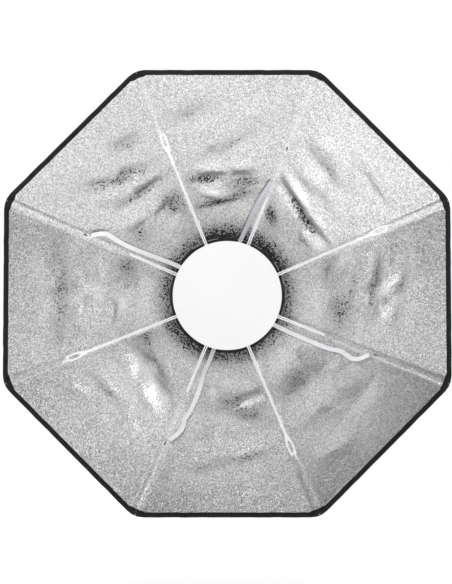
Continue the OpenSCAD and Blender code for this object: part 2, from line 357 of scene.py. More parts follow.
def powder_coat():
    m = Nodes("cast_black", (0.02, 0.02, 0.021), 0.5)
    grain = m.cells(1800)
    wear = m.noise(30, 5.0)
    m.to("Base Color", m.mix(m.ramp(wear, 0.35, 0.75), (0.014, 0.014, 0.015), (0.035, 0.035, 0.037)))
    m.to("Roughness", m.ramp(grain, 0, 0.7, 0.42, 0.6))
    m.bump((grain, 0.00015))
    return m.mat


# The floor glows more between these distances from the softbox, so that it fades to white
FLOOR_FADE = (1.9, 4.2)
FLOOR_GLOW = (0.35, 0.9)


def floor_paint():
    m = Nodes("floor", (0.92, 0.92, 0.92), 0.7, Emission_Color=(1, 1, 1, 1))
    m.to("Roughness", m.ramp(m.noise(6), 0.3, 0.7, 0.6, 0.75))
    away = m.add("VectorMath", ("Vector", m.coords), operation="LENGTH").outputs["Value"]
    m.to("Emission Strength", m.ramp(away, *FLOOR_FADE, *FLOOR_GLOW))
    return m.mat


def thread():
    m = Nodes("thread", (0.3, 0.3, 0.31), 0.6)
    twist = m.noise(3000, 2.0)
    m.to("Base Color", m.mix(m.ramp(twist, 0.3, 0.7), (0.1, 0.1, 0.105), (0.3, 0.3, 0.31)))
    m.bump((twist, 0.00008))
    return m.mat


SILVER = silver_cloth()
FLOOR = floor_paint()
THREAD = thread()
BLACK = black_cloth()
BINDING = binding_cloth()
WHITE = white_paint()
ELASTIC = white_braid("white_elastic", (0.92, 0.92, 0.93), (0.7, 0.7, 0.72), 1500)
TAPE = white_braid("white_tape", (0.95, 0.95, 0.96), (0.78, 0.79, 0.82), 1100)
GREY_TAPE = white_braid("grey_tape", (0.66, 0.67, 0.71), (0.5, 0.51, 0.55), 1100)
HOOK_PLASTIC = plastic("white_plastic", (0.93, 0.93, 0.93), (0.88, 0.88, 0.88), 0.4)
NYLON = plastic("black_nylon", (0.015, 0.015, 0.016), (0.03, 0.03, 0.032), 0.5)
FIBREGLASS = plastic("fibreglass", (0.86, 0.86, 0.83), (0.78, 0.78, 0.74), 0.45, 600)
STEEL = metal("bright_steel", (0.6, 0.6, 0.62), (0.5, 0.5, 0.52), 0.3)
ALUMINIUM = metal("bare_aluminium", (0.76, 0.77, 0.79), (0.68, 0.69, 0.71), 0.35, (1, 6, 1))
COAT = powder_coat()

CAD_MATERIALS = {
    "speedring": COAT, "retaining_ring": COAT, "bayonet_adapter": ALUMINIUM,
    "retaining_screws": STEEL, "hinge_pins": STEEL, "spring_plungers": STEEL,
    "lock_screw": STEEL, "lock_knob": NYLON, "deflector_eyelets": STEEL, "deflector_hoop": NYLON,
}
for k in RODS:
    CAD_MATERIALS[f"socket_{k}"] = NYLON
    CAD_MATERIALS[f"rod_{k}"] = FIBREGLASS
for name, look in CAD_MATERIALS.items():
    mesh = frame["nodes"][name].data
    mesh.materials.clear()
    mesh.materials.append(look)


# ------------------------------------------------
# Mesh helpers
# ------------------------------------------------
SHARP = math.radians(48)


def piece(name, points, faces, look):
    mesh = bpy.data.meshes.new(name)
    mesh.from_pydata([tuple(p) for p in points], [], [tuple(f) for f in faces])
    mesh.validate()
    mesh.materials.append(look)
    mesh.shade_smooth()
    mesh.set_sharp_from_angle(angle=SHARP)
    made = bpy.data.objects.new(name, mesh)
    bpy.context.scene.collection.objects.link(made)
    return made


def grid_faces(rows, cols, start=0, flip=False, closed=False):
    """Faces of a rows x cols grid of points, numbered along its rows."""
    faces = []
    for r in range(rows - 1):
        for c in range(cols if closed else cols - 1):
            a = start + r * cols + c
            b = start + r * cols + (c + 1) % cols
            faces.append((a, b, b + cols, a + cols) if not flip else (a, a + cols, b + cols, b))
    return faces


def slab(name, top, bottom, look):
    """A thin closed sheet between two grids of points of the same shape."""
    rows, cols = top.shape[:2]
    points = np.concatenate([top.reshape(-1, 3), bottom.reshape(-1, 3)])
    under = rows * cols
    faces = grid_faces(rows, cols) + grid_faces(rows, cols, under, flip=True)
    edge = (
        list(range(cols))
        + [r * cols + cols - 1 for r in range(1, rows)]
        + [(rows - 1) * cols + c for c in range(cols - 2, -1, -1)]
        + [r * cols for r in range(rows - 2, 0, -1)]
    )
    for a, b in zip(edge, edge[1:] + edge[:1]):
        faces.append((b, a, a + under, b + under))
    return piece(name, points, faces, look)


def tube(name, path, across, up, look, ends=True):
    """Sweeps the closed outline (pairs of shares of across and up) along a path with frames."""
    outline_n = len(across[0])
    points = [p + x + y for p, xs, ys in zip(path, across, up) for x, y in zip(xs, ys)]
    faces = grid_faces(len(path), outline_n, closed=True)
    if ends:
        faces.append(tuple(range(outline_n - 1, -1, -1)))
        faces.append(tuple(range(len(points) - outline_n, len(points))))
    return piece(name, points, faces, look)


def sweep(name, path, width, thick, look, up, sides=10, power=1.0):
    """A strand or tape along path: width across, thick along up; power under 1 squares its section."""
    path = [Vector(p) for p in path]
    across, heights = [], []
    for i, p in enumerate(path):
        ahead = path[min(i + 1, len(path) - 1)] - path[max(i - 1, 0)]
        lift = Vector(up[i]) if isinstance(up, list) else Vector(up)
        wide = ahead.cross(lift).normalized()
        lift = wide.cross(ahead).normalized()
        ring = []
        for s in range(sides):
            t = 2 * math.pi * s / sides
            c, d = math.cos(t), math.sin(t)
            ring.append((math.copysign(abs(c) ** power, c) * width / 2,
                         math.copysign(abs(d) ** power, d) * thick / 2))
        across.append([wide * x for x, _ in ring])
        heights.append([lift * y for _, y in ring])
    return tube(name, path, across, heights, look)


# ------------------------------------------------
# The canopy: a silver liner and a black shell, each half gore a sheet
# ------------------------------------------------
# Folds the cloth of each gore has taken, gores counted counter-clockwise from the right, in millimetres:
# place across and along the gore, turn in degrees, half length, half width, height inward
FOLDS = (
    ((6, 234, 10, 84, 10, 2.2), (10, 262, 9, 80, 10, -1.8), (20, 208, 10, 84, 10, -2.2),
     (-44, 180, 14, 45, 10, 1.2), (20, 290, 10, 60, 12, 1.0), (-10, 130, -8, 44, 10, 1.6),
     (45, 150, 25, 35, 8, -1.4)),
    ((10, 140, 14, 74, 8, -4.2), (14, 158, 14, 80, 9, 3.2), (22, 230, 3, 58, 10, -2.2),
     (-32, 270, 11, 66, 7, -1.8), (30, 196, 8, 50, 10, 1.8), (-20, 112, 24, 34, 9, 2.0),
     (50, 262, -6, 40, 12, 1.4)),
    ((60, 270, -27, 52, 12, -2.4), (4, 154, 2, 62, 9, -3.4), (6, 211, -31, 82, 9, -2.0),
     (2, 97, -14, 34, 7, -2.6), (0, 172, -8, 60, 9, 2.6), (-50, 280, -20, 50, 12, 1.2),
     (20, 120, 12, 40, 8, 2.2)),
    ((-8, 234, 27, 80, 9, -3.0), (-54, 270, 31, 38, 9, -2.4), (-18, 182, 13, 60, 8, -2.6),
     (-10, 208, 20, 66, 9, 2.2), (10, 150, 18, 50, 9, 2.2), (30, 290, 24, 60, 14, 1.2),
     (-26, 128, 8, 44, 9, -1.8)),
    ((0, 226, 0, 76, 12, -2.2), (4, 200, 3, 70, 11, 1.6), (40, 262, -18, 40, 10, -1.8),
     (-30, 170, -10, 40, 8, -1.4), (14, 150, 10, 46, 8, 2.4), (-50, 255, 14, 44, 12, 1.4),
     (-10, 110, 8, 30, 8, 1.8)),
    ((8, 148, 17, 92, 14, 3.4), (-22, 218, 3, 48, 9, -1.6), (40, 240, 10, 50, 10, -1.6),
     (12, 176, 14, 66, 9, -1.8), (-60, 262, -12, 34, 9, -1.6), (0, 108, 12, 40, 9, -2.4),
     (0, 290, 6, 70, 16, 1.2)),
    ((30, 240, -20, 56, 11, -2.0), (-36, 262, -14, 48, 10, -1.4), (-10, 190, -16, 60, 10, 1.8),
     (10, 150, 6, 50, 9, -1.4), (34, 128, -30, 40, 9, 2.4), (-20, 110, 16, 34, 8, 1.6),
     (10, 296, -6, 70, 12, 1.0)),
    ((-10, 210, 6, 66, 12, 1.4), (20, 250, -8, 60, 12, -1.3), (0, 160, 4, 56, 10, -2.0),
     (-20, 128, -10, 42, 9, 2.0), (-50, 285, 10, 50, 12, 1.0), (40, 190, 14, 44, 9, -1.0),
     (10, 100, 8, 30, 8, -1.8)),
)
MM = 0.001
SLACK = -0.0001
# Folds die out this close to a rod, and down to a share of their height this close to the rim
NEAR_ROD = 0.014
NEAR_RIM = 0.03
RIM_SHARE = 0.2
# The cloth is flatter over the middle of a gore, where it folds when the softbox closes, most of all inward
MIDDLE_IN = 0.14
MIDDLE_OUT = 0.26
MIDDLE_ROUND = 0.001
MIDDLE_BAND = 0.022
FOLD_LONG = 1.2
FOLD_WIDE = 1.2
FOLD_HEIGHT = 1.9
CRUMPLES = 46
CRUMPLE = 0.0005
CRUMPLE_FROM = 7100


def crumples(gore):
    """Small dents all over one gore's cloth: (x, y, turn, half length, half width, height) in metres."""
    rng = random.Random(CRUMPLE_FROM + gore)
    made = []
    for _ in range(CRUMPLES):
        y = rng.uniform(0.05, GORE_LEN)
        made.append((
            rng.uniform(-1, 1) * rod_x(y), y, rng.uniform(-0.6, 0.6), rng.uniform(0.012, 0.04),
            rng.uniform(0.004, 0.009), rng.uniform(-1, 1) * CRUMPLE,
        ))
    return made


FOLDED = [
    [(x * MM, y * MM, math.radians(t), l * MM * FOLD_LONG, w * MM * FOLD_WIDE, h * MM * FOLD_HEIGHT)
     for x, y, t, l, w, h in folds] + crumples(g)
    for g, folds in enumerate(FOLDS)
]


def waves(gore, x, y):
    """How far the gore's cloth stands inward of its plane, from its folds and its slack."""
    total = np.zeros_like(x)
    for cx, cy, turn, long_half, wide_half, height in FOLDED[gore]:
        dx, dy = x - cx, y - cy
        along = dx * math.cos(turn) + dy * math.sin(turn)
        over = dy * math.cos(turn) - dx * math.sin(turn)
        total += height * np.exp(-((over / wide_half) ** 2)) * bell(along / long_half)
    edge = rod_x(y)
    slack = SLACK * (1 - (x / edge) ** 2) * np.sin(np.pi * np.clip(y / GORE_LEN, 0, 1))
    near_rod = smooth((edge - np.abs(x)) / NEAR_ROD)
    near_rim = smooth((GORE_LEN - y) / NEAR_RIM)
    total = total * near_rod * (RIM_SHARE + (1 - RIM_SHARE) * near_rim)
    mean, half = (MIDDLE_OUT + MIDDLE_IN) / 2, (MIDDLE_OUT - MIDDLE_IN) / 2
    flatter = mean * total - half * (np.hypot(total, MIDDLE_ROUND) - MIDDLE_ROUND)
    away = smooth(np.abs(x) / MIDDLE_BAND)
    return total * away + flatter * (1 - away) + slack * near_rim


# Painted shade (above 0) and painted highlight (below 0) on each gore's pebbles, standing in for the dark hub
# they reflect, the shade of the folds and the light falling on the gore: place across and along the gore in
# millimetres, turn in degrees, half length, half width, amount
PAINTED_SHADE_PATCHES = (
    ((-30, 145, 0, 60, 24, 0.42), (18, 211, 10, 92, 9, 0.5), (14, 262, 8, 92, 9, 0.3),
     (6, 236, 9, 84, 7, -0.35), (40, 118, 20, 48, 16, 0.4), (60, 165, 20, 34, 10, -0.6),
     (16, 172, 8, 80, 16, 0.3), (0, 92, 0, 90, 20, -0.3)),
    ((5, 137, 16, 82, 9, 0.9), (14, 157, 16, 80, 9, -0.9), (43, 90, 38, 40, 12, 0.7),
     (-52, 122, 0, 22, 16, -1.0), (24, 232, 3, 64, 10, 0.34), (-30, 262, 9, 66, 9, 0.26),
     (20, 300, 0, 90, 30, -0.2), (10, 196, 10, 70, 8, 0.3)),
    ((38, 150, 0, 46, 8, 0.85), (-28, 146, -4, 50, 10, 0.6), (-24, 124, -6, 44, 14, 0.5),
     (19, 101, -15, 58, 8, 0.75), (24, 124, -4, 40, 8, -0.9), (60, 268, -27, 64, 13, 0.34),
     (0, 214, -31, 94, 10, 0.34), (-30, 90, 0, 60, 12, -0.4)),
    ((-44, 122, 0, 36, 30, 0.5), (-8, 232, 27, 96, 10, 0.42), (-54, 268, 31, 46, 10, 0.3),
     (-18, 184, 13, 74, 10, 0.42), (-24, 94, 0, 26, 12, -0.7), (34, 128, 0, 34, 22, 0.34),
     (0, 250, 0, 220, 110, 0.12)),
    ((0, 248, 0, 120, 20, 0.42), (15, 130, 0, 32, 16, -1.0), (-8, 172, 4, 60, 14, -0.5),
     (-46, 118, 0, 30, 26, 0.45), (0, 212, 2, 70, 7, -0.4), (-40, 290, 0, 40, 14, -0.5),
     (0, 82, 0, 80, 16, -0.4)),
    ((12, 146, 17, 90, 14, -0.9), (-4, 112, 20, 60, 14, 0.4), (-22, 222, 3, 54, 7, 0.4),
     (0, 196, 8, 80, 14, -0.3), (-50, 90, 0, 30, 20, 0.5)),
    ((30, 240, -20, 66, 12, 0.4), (-36, 260, -14, 52, 11, 0.34), (8, 134, 0, 60, 24, 0.4),
     (-24, 112, 0, 12, 18, -0.9), (40, 162, 0, 40, 22, 0.36), (0, 200, -10, 90, 10, 0.2),
     (0, 92, 0, 90, 18, -0.4)),
    ((-10, 142, 0, 70, 30, 0.42), (0, 270, 0, 220, 110, -0.32), (0, 88, 0, 90, 20, -0.4)),
)
# Painted shade on each gore next to the hub, for the disc's shadow and the dark hub the pebbles reflect, how
# that fades outwards, and the radius where the liner starts
HUB_PAINTED_SHADE = (0.62, 0.95, 1.0, 0.66, 0.55, 0.8, 0.66, 0.58)
HUB_SHADE_FADE = 0.032
HUB_SHADE_FULL = 1.15
HUB_SHADE_POWER = 1.4
HUB_EDGE_R = 0.1036


def painted_shade_at(k, side, u, v):
    """Painted shade on the liner's pebbles, or below 0 painted highlight."""
    gore = gore_of(k, side)
    x = -side * u
    total = np.zeros_like(x + v)
    for cx, cy, turn, long_half, wide_half, amount in PAINTED_SHADE_PATCHES[gore]:
        dx, dy = x - cx * MM, v - cy * MM
        t = math.radians(turn)
        along = dx * math.cos(t) + dy * math.sin(t)
        over = dy * math.cos(t) - dx * math.sin(t)
        total += amount * np.exp(-((over / (wide_half * MM)) ** 2)) * bell(along / (long_half * MM))
    radius = np.hypot(GORE_R + v * math.sin(GORE_ANGLE), u)
    near_hub = np.clip(HUB_SHADE_FULL - (radius - HUB_EDGE_R) / HUB_SHADE_FADE, 0, 1)
    # The painted shade and highlight of the patches, plus painted shade towards the hub
    return total + HUB_PAINTED_SHADE[gore] * near_hub ** HUB_SHADE_POWER


def paint_shade_onto(obj, amounts):
    """Gives a slab's vertices their amounts of painted shade and highlight, one list for each of its two
    faces.
    """
    layer = obj.data.attributes.new("painted_shade_and_highlight", "FLOAT", "POINT")
    both = np.concatenate([amounts.ravel(), amounts.ravel()])
    layer.data.foreach_set("value", both.astype(np.float32))


def gore_of(k, side):
    """The gore on that side of rod k, as FOLDS and the table of painted shade count them."""
    return (k - 1 + (1 if side > 0 else 0)) % 8


ROD_CLEAR = 0.0027
CAP_CLEAR = 0.0037
SOCKET_CLEAR = 0.0062
SOCKET_END = 0.05
CAP_START = ROD_LEN - 0.024
SLEEVE_W = 0.0072
SOCKET_FADE = 0.02
CAP_FADE = 0.01
# Beside the rod the lift reaches this far, and this many times its own height
LIFT_REACH = 0.0042
LIFT_TIMES = 1.6


def seam_lift(v, off):
    """How far the cloth stands off the rod's line beside the seam, to go round socket, rod and cap."""
    along = v * ROD_LEN / GORE_LEN
    lift = ROD_CLEAR + (SOCKET_CLEAR - ROD_CLEAR) * (1 - smooth((along - SOCKET_END) / SOCKET_FADE))
    lift = lift + (CAP_CLEAR - ROD_CLEAR) * smooth((along - CAP_START) / CAP_FADE)
    return lift * bell(off / (lift * LIFT_TIMES + LIFT_REACH))


SHEET_APART = 0.0006


def liner_inward(k, side, u, v, off):
    return SHEET_APART + waves(gore_of(k, side), -side * u, v) + seam_lift(v, off)


def shell_inward(k, side, u, v, off):
    return -SHEET_APART + waves(gore_of(k, side), -side * u, v) - seam_lift(v, off)


def rim_v(u):
    """Where the rim is at u along the rim, the corner rounded off."""
    past = np.clip(u - (RIM_W - CORNER_FILLET * math.tan(HALF)), 0, None)
    cut = CORNER_FILLET - np.sqrt(CORNER_FILLET**2 - past**2)
    return GORE_LEN - cut / math.sin(GORE_ANGLE)


def hub_v(a):
    """Where the liner starts at the share a of the way from the gore's middle to its rod: on a circle."""
    v = np.full_like(a, 0.02)
    for _ in range(6):
        u = a * rod_x(v)
        radius = np.sqrt(HUB_EDGE_R**2 - u**2) + seam_lift(v, rod_off(u, v)) * math.cos(GORE_ANGLE)
        v = (radius - GORE_R) / math.sin(GORE_ANGLE)
    return v


SHEET_T = 0.0004
# Spaces a half gore's columns closer together towards the rod
ROD_SIDE_POWER = 0.85


def fold_blend(obj):
    """Bakes a piece's placement into its mesh."""
    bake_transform(obj)


def cloth(name, k, side, u, v, inward, look, thick=SHEET_T):
    """A thin sheet of cloth over a grid of gore coordinates."""
    top = gore_point(k, side, u, v, inward + thick / 2)
    bottom = gore_point(k, side, u, v, inward - thick / 2)
    return slab(name, *((bottom, top) if side > 0 else (top, bottom)), look)


def half_gore(k, side, kind, inward_of, cols, rows, look, first_v):
    """The liner or the shell of half a gore, from first_v to the rim."""
    a = np.linspace(0, 1, cols) ** ROD_SIDE_POWER
    start, top = first_v(a), rim_v(a * RIM_W)
    v = start[None, :] + np.linspace(0, 1, rows)[:, None] * (top - start)[None, :]
    u = a[None, :] * rod_x(v)
    made = cloth(f"{kind}_{k}{SIDES[side]}", k, side, u, v, inward_of(k, side, u, v, rod_off(u, v)), look)
    if kind == "liner":
        # Paints shade and highlights onto the liner's pebbles
        paint_shade_onto(made, painted_shade_at(k, side, u, v))
    fold_blend(made)
    return made


for k in RODS:
    for side, letter in SIDES.items():
        liner = half_gore(k, side, "liner", liner_inward, 48, 110, SILVER, hub_v)
        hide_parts(f"gore_flap_{k}{letter}", f"gore_root_{k}")
        half_gore(k, side, "shell", shell_inward, 32, 64, BLACK, lambda a: np.full_like(a, CLOTH_START))

# ------------------------------------------------
# Rod sleeves, stitched down over the seams inside and outside
# ------------------------------------------------
SLEEVE_FROM = 0.05
SLEEVE_SHORT = 0.001
SLEEVE_LIFT = 0.0004
SLEEVE_CREST = 0.0005
SLEEVE_PUCKER = 0.00012
PUCKER_EVERY = 0.0078
# A sleeve's painted shade: a share of the liner's, with painted highlight added over it
SLEEVE_PAINTED_SHADE = 0.6
SLEEVE_PAINTED_HIGHLIGHT = 0.25
STITCH = 0.0026
STITCH_GAP = 0.0014
STITCH_R = 0.00022
STITCH_LIFT = 0.0004
STITCH_INSET = 0.0009


def sleeve(k, side, kind, inward_of, face, look):
    """Half of a sleeve's tape, from the seam to its stitched edge; face is 1 inside and -1 outside."""
    rows, cols = 120, 9
    off = np.linspace(0, SLEEVE_W, cols)[None, :] + np.zeros((rows, 1))
    reach = rim_v(RIM_W - off[0]) - SLEEVE_SHORT - SLEEVE_FROM
    v = SLEEVE_FROM + reach[None, :] * np.linspace(0, 1, rows)[:, None]
    u = rod_x(v) - off / math.cos(ROD_SLANT)
    crest = SLEEVE_LIFT + SLEEVE_CREST * np.cos(off / SLEEVE_W * math.pi / 2)
    pucker = SLEEVE_PUCKER * np.sin(v * 2 * math.pi / PUCKER_EVERY + side) * smooth(off / SLEEVE_W)
    inward = inward_of(k, side, u, v, off) + face * (crest + pucker)
    made = cloth(f"{kind}_{k}{SIDES[side]}", k, side, u[:, ::-1], v[:, ::-1], inward[:, ::-1], look)
    if kind == "sleeve":
        # Paints the liner's shade onto the sleeve, lessened, with a painted highlight over all of it
        paint_shade_onto(made, SLEEVE_PAINTED_SHADE * painted_shade_at(k, side, u[:, ::-1], v[:, ::-1]) - SLEEVE_PAINTED_HIGHLIGHT)
    fold_blend(made)


def stitches(k, side, kind, inward_of, face, look):
    """The stitches along one edge of a sleeve, each a short thread that dips in at its ends."""
    points, faces = [], []
    v = SLEEVE_FROM + STITCH
    while v < rim_v(RIM_W) - STITCH - BINDING_W:
        ends = np.array([v - STITCH / 2, v - STITCH / 4, v + STITCH / 4, v + STITCH / 2])
        sunk = np.array([-1.0, 0.6, 0.6, -1.0]) * STITCH_R
        off = np.full(4, SLEEVE_W - STITCH_INSET)
        for turn in range(6):
            t = turn * math.pi / 3
            wide = off + STITCH_R * math.cos(t)
            u = rod_x(ends) - wide / math.cos(ROD_SLANT)
            above = SLEEVE_LIFT + STITCH_LIFT + sunk + STITCH_R * math.sin(t)
            lift = inward_of(k, side, u, ends, wide) + face * above
            points.append(gore_point(k, side, u, ends, lift))
        base = (len(points) - 6) * 4
        for turn in range(6):
            for i in range(3):
                one, two = base + turn * 4 + i, base + (turn + 1) % 6 * 4 + i
                faces.append((one, one + 1, two + 1, two))
        v += STITCH + STITCH_GAP
    made = piece(f"{kind}_{k}{SIDES[side]}", np.concatenate(points), faces, look)
    fold_blend(made)


BINDING_W = 0.0058
BINDING_T = 0.0011
# How far each half of the binding laps over the corner, and how near the corner it turns to the rod's way
BINDING_LAP = 0.0003
BINDING_TURN = 0.02
BINDING_RIPPLE = 0.0002

for k in RODS:
    for side in SIDES:
        sleeve(k, side, "sleeve", liner_inward, 1, SILVER)
        sleeve(k, side, "shell_sleeve", shell_inward, -1, BLACK)
        stitches(k, side, "stitches", liner_inward, 1, THREAD)
        stitches(k, side, "shell_stitches", shell_inward, -1, BINDING)

# ------------------------------------------------
# Edge binding folded over the rim, and the pockets that the rods' caps stand in
# ------------------------------------------------


def binding(k, side):
    """The edge binding along half a side: a folded band swept along the rim."""
    cols = 60
    a = np.linspace(0, 1, cols)
    v = rim_v(a * RIM_W)
    u = a * rod_x(v)
    u[-1] += BINDING_LAP
    off = rod_off(u, v)
    liner_at = liner_inward(k, side, u, v, off)
    shell_at = shell_inward(k, side, u, v, off)
    du, dv = np.gradient(u), np.gradient(v)
    size = np.hypot(du, dv)
    out_u, out_v = -dv / size, du / size
    out_u[0] = 0
    turn_in = smooth((u - u[-1] + BINDING_TURN) / BINDING_TURN)
    out_u = out_u * (1 - turn_in) + math.sin(ROD_SLANT) * turn_in
    out_v = out_v * (1 - turn_in) + math.cos(ROD_SLANT) * turn_in
    ripple = BINDING_RIPPLE * np.sin(a * 19 + k) + BINDING_RIPPLE / 2 * np.sin(a * 43 + 2 * k + side)
    ripple = bell(2 * a - 1) * ripple
    outline = [(-BINDING_W, 1, 0.0), (-BINDING_W, 1, BINDING_T), (-BINDING_W / 2, 1, BINDING_T * 1.25)]
    outline += [(BINDING_T * math.sin(t), math.cos(t), BINDING_T) for t in np.linspace(0, math.pi, 7)]
    outline += [(-BINDING_W / 2, -1, BINDING_T * 1.25), (-BINDING_W, -1, BINDING_T), (-BINDING_W, -1, 0.0)]
    rings = []
    for reach, where, lift in outline:
        middle = (liner_at + shell_at) / 2
        half_t = (liner_at - shell_at) / 2 + lift
        far = reach + ripple
        rings.append(gore_point(k, side, u + out_u * far, v + out_v * far, middle + where * half_t))
    points = np.stack(rings, 1).reshape(-1, 3)
    n = len(outline)
    faces = grid_faces(cols, n, closed=True, flip=side > 0)
    ends = [tuple(range(n)), tuple(range(len(points) - n, len(points)))]
    faces += [ends[0] if side > 0 else ends[0][::-1], ends[1][::-1] if side > 0 else ends[1]]
    made = piece(f"binding_{k}{SIDES[side]}", points, faces, BINDING)
    fold_blend(made)


POCKET_HALF = 0.0155
POCKET_DEPTH = 0.0128
POCKET_RISE = 0.51
POCKET_SHORT = 0.0015
POCKET_LIFT = 0.0011
POCKET_T = 0.0008


def pocket(k, side, kind, inward_of, face):
    """Half of a corner pocket: a patch with a straight mouth across the seam."""
    cols, rows = 14, 8
    aside = np.linspace(POCKET_HALF, 0, cols)
    mouth_v = GORE_LEN - POCKET_DEPTH + POCKET_RISE * aside
    mouth_v = mouth_v + seam_lift(mouth_v, aside) * math.cos(GORE_ANGLE) / math.sin(GORE_ANGLE)
    mouth_u = rod_x(mouth_v) - aside
    top_v = rim_v(RIM_W - aside) - POCKET_SHORT
    top_u = rod_x(top_v) - aside
    share = np.linspace(0, 1, rows)[:, None]
    v = mouth_v * (1 - share) + top_v * share
    u = mouth_u * (1 - share) + top_u * share
    inward = inward_of(k, side, u, v, rod_off(u, v)) + face * POCKET_LIFT
    made = cloth(f"{kind}_{k}{SIDES[side]}", k, side, u, v, inward, BINDING, POCKET_T)
    fold_blend(made)


for k in RODS:
    for side in SIDES:
        binding(k, side)
        pocket(k, side, "pocket", liner_inward, 1)
        pocket(k, side, "shell_pocket", shell_inward, -1)

# ------------------------------------------------
# Skirt of the shell, from the speedring's collar to the canopy
# ------------------------------------------------
SKIRT_OVERLAP = 0.006
SKIRT_T = 0.0006
SKIRT_UNDER = 0.0007
SKIRT_BULGE = 0.0012
SKIRT_PUCKER = 0.0007
SKIRT_LOW = COLLAR_H - SKIRT_T


def skirt(k):
    """The skirt round rod k's socket, half a gore to each side."""
    cols, rows = 41, 9
    turns = np.linspace(-1, 1, cols)
    high = []
    for t in turns:
        side = 1 if t > 0 else -1
        a = 1 - abs(t)
        v = CLOTH_START + SKIRT_OVERLAP
        u = a * rod_x(v)
        lift = shell_inward(k, side, np.array(u), np.array(v), rod_off(u, v)) - SKIRT_UNDER
        high.append(gore_point(k, side, np.array(u), np.array(v), lift))
    high = np.array(high)
    low = np.array([axis_point(COLLAR_R + SKIRT_T, rod_turn(k) + t * HALF, SKIRT_LOW) for t in turns])
    share = np.linspace(0, 1, rows)[:, None, None]
    middle = low[None] * (1 - share) + high[None] * share
    radial = middle * np.array([1, 0, 1])
    radial /= np.linalg.norm(radial, axis=2, keepdims=True)
    pucker = SKIRT_PUCKER * np.sin(turns * 21 + k)[None, :, None] * np.sin(share * math.pi)
    middle = middle + radial * (pucker + SKIRT_BULGE * np.sin(share * math.pi))
    made = slab(f"skirt_{k}", middle - radial * (SKIRT_T / 2), middle + radial * (SKIRT_T / 2), BLACK)
    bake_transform(made)


for k in RODS:
    skirt(k)

# ------------------------------------------------
# Blank label sewn inside the rim on the right
# ------------------------------------------------
LABEL_U = (0.0015, 0.026)
LABEL_V = (GORE_LEN - 0.031, GORE_LEN - 0.006)
LABEL_LIFT = 0.0006
LABEL_T = 0.0005
u, v = np.meshgrid(np.linspace(*LABEL_U, 14), np.linspace(*LABEL_V, 14))
label_at = liner_inward(8, 1, u, v, rod_off(u, v)) + LABEL_LIFT
label = cloth("label", 8, 1, u, v, label_at, SILVER, LABEL_T)
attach(label, "flap_8b")

# ------------------------------------------------
# Deflector disc
# ------------------------------------------------
DISC_CENTRE = (disc_low.z + disc_high.z) / 2


def spun(name, outline, look, drop=0.0, turns=128):
    """Turns an outline of (radius, height) about a line drop above the axis."""
    points = []
    for t in range(turns):
        for r, h in outline:
            points.append(axis_point(r, 2 * math.pi * t / turns, h) + Vector((0, 0, drop)))
    n = len(outline)
    faces = []
    for t in range(turns):
        for i in range(n - 1):
            a, b = t * n + i, t * n + i + 1
            c, d = ((t + 1) % turns) * n + i + 1, ((t + 1) % turns) * n + i
            faces.append((a, d, c, b))
    faces.append(tuple(t * n for t in range(turns))[::-1])
    faces.append(tuple(t * n + n - 1 for t in range(turns)))
    return piece(name, points, faces, look)


DISC_ROUND = 0.0005
disc_outline = [(share * DISC_R, DISC_H) for share in (0.2, 0.5, 0.8, 0.95)]
disc_outline += [
    (DISC_R - DISC_ROUND + DISC_ROUND * math.sin(t), DISC_H - DISC_ROUND + DISC_ROUND * math.cos(t))
    for t in np.linspace(0, math.pi / 2, 5)
]
disc_outline += [(DISC_R, DISC_BACK + DISC_ROUND), (DISC_R - DISC_ROUND, DISC_BACK)]
disc_outline += [(share * DISC_R, DISC_BACK) for share in (0.8, 0.4, 0.2)]
disc = spun("deflector", disc_outline, WHITE, DISC_CENTRE)
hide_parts("deflector_disc")
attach(disc, "ring")

# ------------------------------------------------
# Cords from the disc to the hooks and into the seams
# ------------------------------------------------
hoop_low, hoop_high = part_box("deflector_hoop")
HOOP_H = -(hoop_low.y + hoop_high.y) / 2
CORD_START_R = DISC_R - 0.002
STRAND = 0.0022
STRAND_GAP = 0.0015
STRAND_SPANS = 24
# A cord's two strands come closer together by this share towards its end
STRAND_CLOSER = 0.45


def frame_box(name, k):
    """Least and greatest (along, aside, inward) of a CAD node in rod k's frame."""
    phi = rod_turn(k)
    spots = []
    obj = frame["nodes"][name]
    for vert in obj.data.vertices:
        p = obj.matrix_world @ vert.co
        radius = p.x * math.cos(phi) + p.z * math.sin(phi) - HINGE_R
        height = -p.y - HINGE_H
        aside = p.z * math.cos(phi) - p.x * math.sin(phi)
        if abs(aside) < 0.03 and radius > 0:
            along = radius * math.sin(ROD_ANGLE) + height * math.cos(ROD_ANGLE)
            inward = height * math.sin(ROD_ANGLE) - radius * math.cos(ROD_ANGLE)
            spots.append((along, aside, inward))
    return np.min(spots, 0), np.max(spots, 0)


def disc_point(k, radius, height):
    return axis_point(radius, rod_turn(k), height) + Vector((0, 0, DISC_CENTRE))


def strand(name, k, start, end, node, aside, bow):
    """One strand of a doubled cord, aside of the cord's middle line and bowed inward a little."""
    phi = rod_turn(k)
    side_way = Vector((-math.sin(phi), 0, math.cos(phi)))
    path = []
    for i in range(STRAND_SPANS + 1):
        t = i / STRAND_SPANS
        spread = side_way * aside * (1 - STRAND_CLOSER * t)
        path.append(start.lerp(end, t) + spread + Vector((0, 1, 0)) * bow * math.sin(math.pi * t))
    made = sweep(name, path, STRAND, STRAND, ELASTIC, side_way, 12)
    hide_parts(node)
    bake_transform(made)


HOOK_BOX = {k: frame_box(f"hook_{k}", k) for k in HOOK_RODS}
for k in HOOK_RODS:
    low, high = HOOK_BOX[k]
    knot = rod_point(k, low[0] + 0.002, 0, (low[2] + high[2]) / 2)
    start = disc_point(k, CORD_START_R, HOOP_H)
    for n, aside in enumerate((-STRAND_GAP, STRAND_GAP)):
        strand(f"long_cord_{k}_{n}", k, start, knot, "long_cords", aside, 0.0015 * n)

